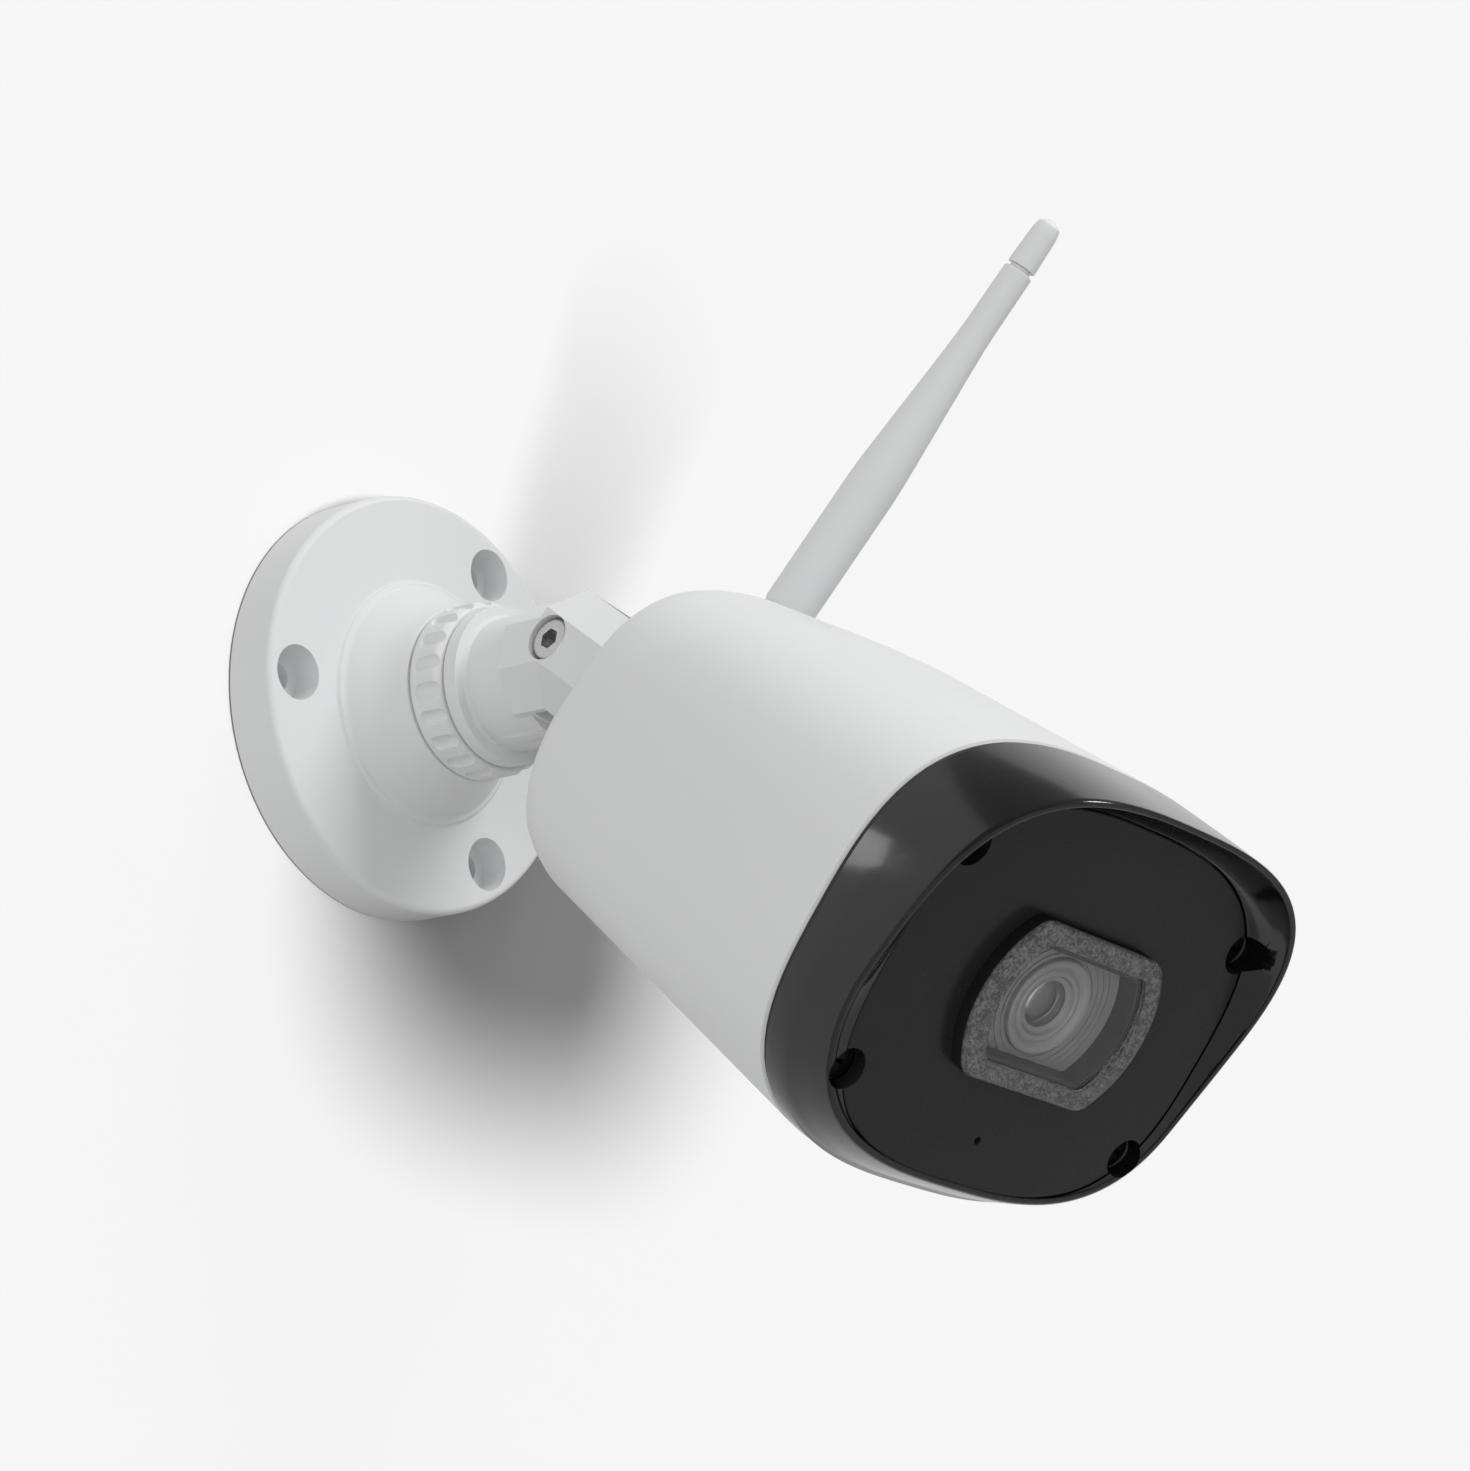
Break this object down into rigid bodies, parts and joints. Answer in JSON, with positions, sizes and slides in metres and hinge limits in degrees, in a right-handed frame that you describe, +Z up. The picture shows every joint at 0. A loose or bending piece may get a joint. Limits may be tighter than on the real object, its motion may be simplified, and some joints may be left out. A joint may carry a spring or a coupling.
{
  "type": "wall security camera",
  "caption": "Wall-mounted bullet security camera on a jointed bracket, with a black front hood and a folding stick antenna.",
  "frame": {"origin": "centre of the wall base's back face, which lies on the wall plane Y = 0", "axes": "+Z up the wall, +Y into the wall, +X to the right for someone facing the wall; the camera stands on the -Y side"},
  "size_m": [0.0784, 0.164, 0.1542],
  "materials": {
    "white_plastic": "satin painted white",
    "white_metal": "white powder coat over cast metal",
    "black_gloss": "glossy black",
    "black_matte": "black moulding",
    "dark_glass": "dark tinted faceplate",
    "clear_glass": "coated clear glass",
    "grey_plate": "dark grey moulding",
    "rubber": "black rubber",
    "steel": "bright zinc or stainless steel",
    "nylon": "natural nylon",
    "board": "green circuit board",
    "chip": "black package",
    "fin": "plain aluminium",
    "gold": "gold plated brass",
    "led": "clear emitter"
  },
  "bodies": {
    "wall": {"wall_base": "white_plastic", "base_pad": "rubber", "neck_washer": "nylon"},
    "ring": {"lock_ring": "white_plastic"},
    "elbow": {"elbow": "white_metal", "pan_clip": "steel", "tilt_screw": "steel", "tilt_nut": "steel"},
    "arm": {"tilt_arm": "white_metal", "tilt_washers": "nylon", "roll_clip": "steel", "roll_seal": "rubber"},
    "camera": {"roll_lock_screw": "steel", "body_shell": "white_plastic", "front_hood": "black_gloss", "hood_seal": "rubber", "hood_screws": "steel", "faceplate": "dark_glass", "lens_frame": "black_matte", "lens_window": "clear_glass", "lens_baffle": "grey_plate", "lens_barrel": "black_matte", "front_element": "clear_glass", "rear_element": "clear_glass", "lens_holder": "black_matte", "shutter_frame": "grey_plate", "image_sensor": "chip", "sensor_board": "board", "led_board": "board", "night_leds": "led", "light_sensor": "led", "microphone": "steel", "mic_boot": "rubber", "chassis": "nylon", "main_board": "board", "processor": "chip", "heat_sink": "fin", "wifi_module": "steel", "memory_slot": "steel", "board_screws": "steel", "chassis_screws": "steel", "speaker": "chip", "reset_switch": "chip", "service_cover": "white_plastic", "cover_seal": "rubber", "cover_screws": "steel", "cable_gland": "rubber", "antenna_socket": "gold"},
    "filter": {"night_filter": "clear_glass"},
    "reset": {"reset_button": "nylon"},
    "swivel": {"antenna_swivel": "white_plastic", "antenna_pin": "steel"},
    "whip": {"antenna_whip": "white_plastic", "antenna_tip": "white_plastic"}
  },
  "joints": [
    {"name": "lock_turn", "type": "hinge", "parent": "wall", "child": "ring", "pos_m": [0, -0.0223, 0], "axis": [0, -1, 0], "range_deg": [-60, 0]},
    {"name": "pan", "type": "hinge", "parent": "wall", "child": "elbow", "pos_m": [0, -0.0257, 0], "axis": [0, -1, 0], "range_deg": [-120, 120]},
    {"name": "tilt", "type": "hinge", "parent": "elbow", "child": "arm", "pos_m": [0, -0.0462, 0], "axis": [0.9951, 0, -0.0993], "range_deg": [-35, 44]},
    {"name": "roll", "type": "hinge", "parent": "arm", "child": "camera", "pos_m": [-0.00143, -0.0666, -0.01438], "axis": [-0.0574, -0.8161, -0.575], "range_deg": [-90, 90]},
    {"name": "night_shift", "type": "slide", "parent": "camera", "child": "filter", "axis": [0.9975, -0.0704, 0.0004], "range_m": [0, 0.0044]},
    {"name": "reset_press", "type": "slide", "parent": "camera", "child": "reset", "axis": [-0.0408, -0.5736, 0.8182], "range_m": [0, 0.0005], "stiffness_N_per_m": 600, "springref_m": -0.0005},
    {"name": "antenna_turn", "type": "hinge", "parent": "camera", "child": "swivel", "pos_m": [0.00615, -0.07546, 0.00057], "axis": [0.0574, 0.8161, 0.575], "range_deg": [-85, 70]},
    {"name": "antenna_fold", "type": "hinge", "parent": "swivel", "child": "whip", "pos_m": [0.00615, -0.07546, 0.00057], "axis": [-0.9946, -0.003, 0.1036], "range_deg": [-6, 40]}
  ]
}
